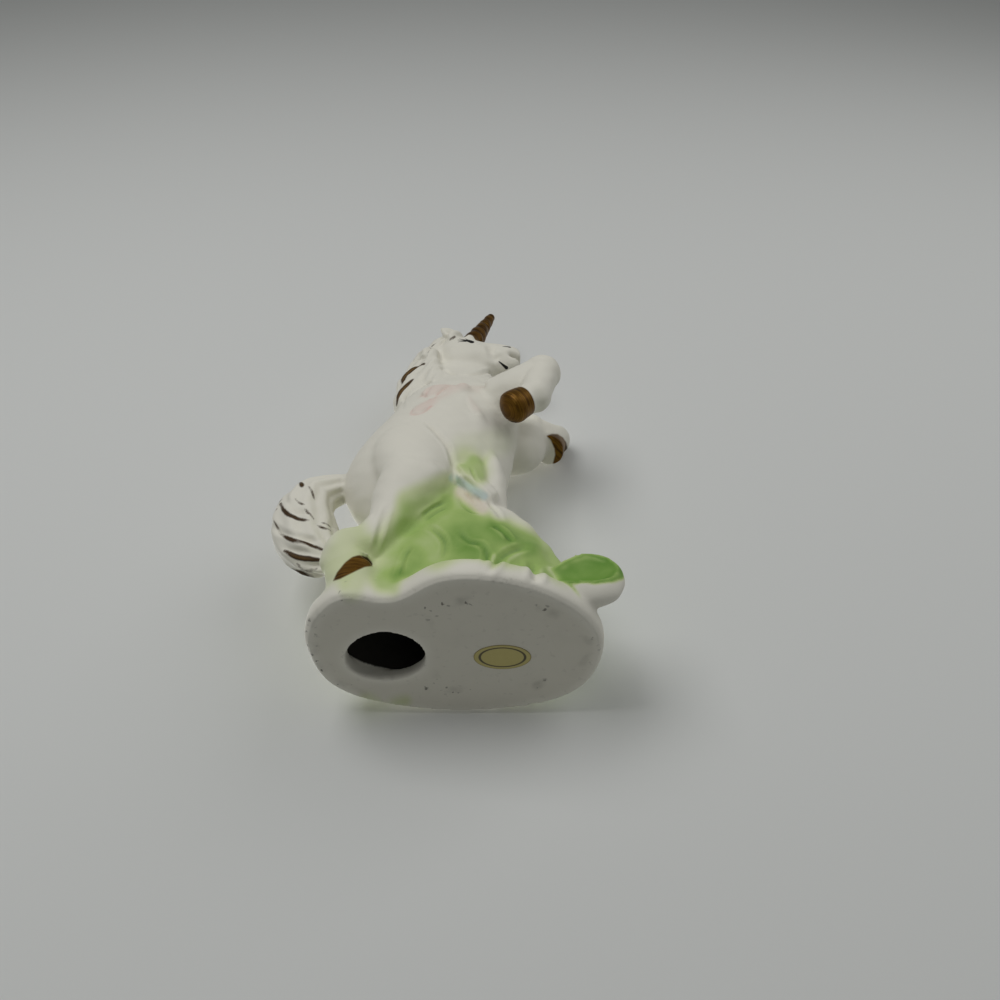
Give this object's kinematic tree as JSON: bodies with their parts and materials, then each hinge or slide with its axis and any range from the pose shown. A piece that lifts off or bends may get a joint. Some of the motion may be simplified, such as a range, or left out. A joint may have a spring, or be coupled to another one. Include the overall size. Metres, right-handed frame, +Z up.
{
  "type": "unicorn figurine",
  "caption": "Rearing unicorn figurine in painted bisque on an oval grass base, hollow cast with a vent hole in its flat underside.",
  "frame": {"origin": "middle of the flat underside of the base", "axes": "+Z up from the underside to the horn, +X the way the unicorn faces, +Y its left side"},
  "size_m": [0.0973, 0.0534, 0.1734],
  "materials": {
    "white_bisque": "matt bisque",
    "grass_bisque": "matt bisque with sprayed green",
    "pink_bisque": "matt bisque with sprayed pink",
    "blue_bisque": "matt bisque with sprayed blue",
    "gold_lustre": "brushed gold-brown lustre",
    "gold_label": "satin gold paper"
  },
  "bodies": {
    "root": {"base_mound": "grass_bisque", "base_label": "gold_label", "base_leaf": "grass_bisque", "belly_support": "white_bisque", "grass_tuft": "grass_bisque", "pink_blossom": "pink_bisque", "blue_blossom": "blue_bisque", "torso": "white_bisque", "neck": "white_bisque", "head": "white_bisque", "right_ear": "white_bisque", "left_ear": "white_bisque", "horn": "gold_lustre", "forelock": "white_bisque", "mane": "white_bisque", "tail": "white_bisque", "right_hind_leg": "white_bisque", "left_hind_leg": "white_bisque", "right_foreleg": "white_bisque", "left_foreleg": "white_bisque", "right_hind_hoof": "gold_lustre", "left_hind_hoof": "gold_lustre", "right_fore_hoof": "gold_lustre", "left_fore_hoof": "gold_lustre", "bow_knot": "pink_bisque", "bow_left_loop": "pink_bisque", "bow_right_loop": "pink_bisque", "bow_left_tail": "pink_bisque", "bow_right_tail": "pink_bisque"}
  },
  "joints": []
}
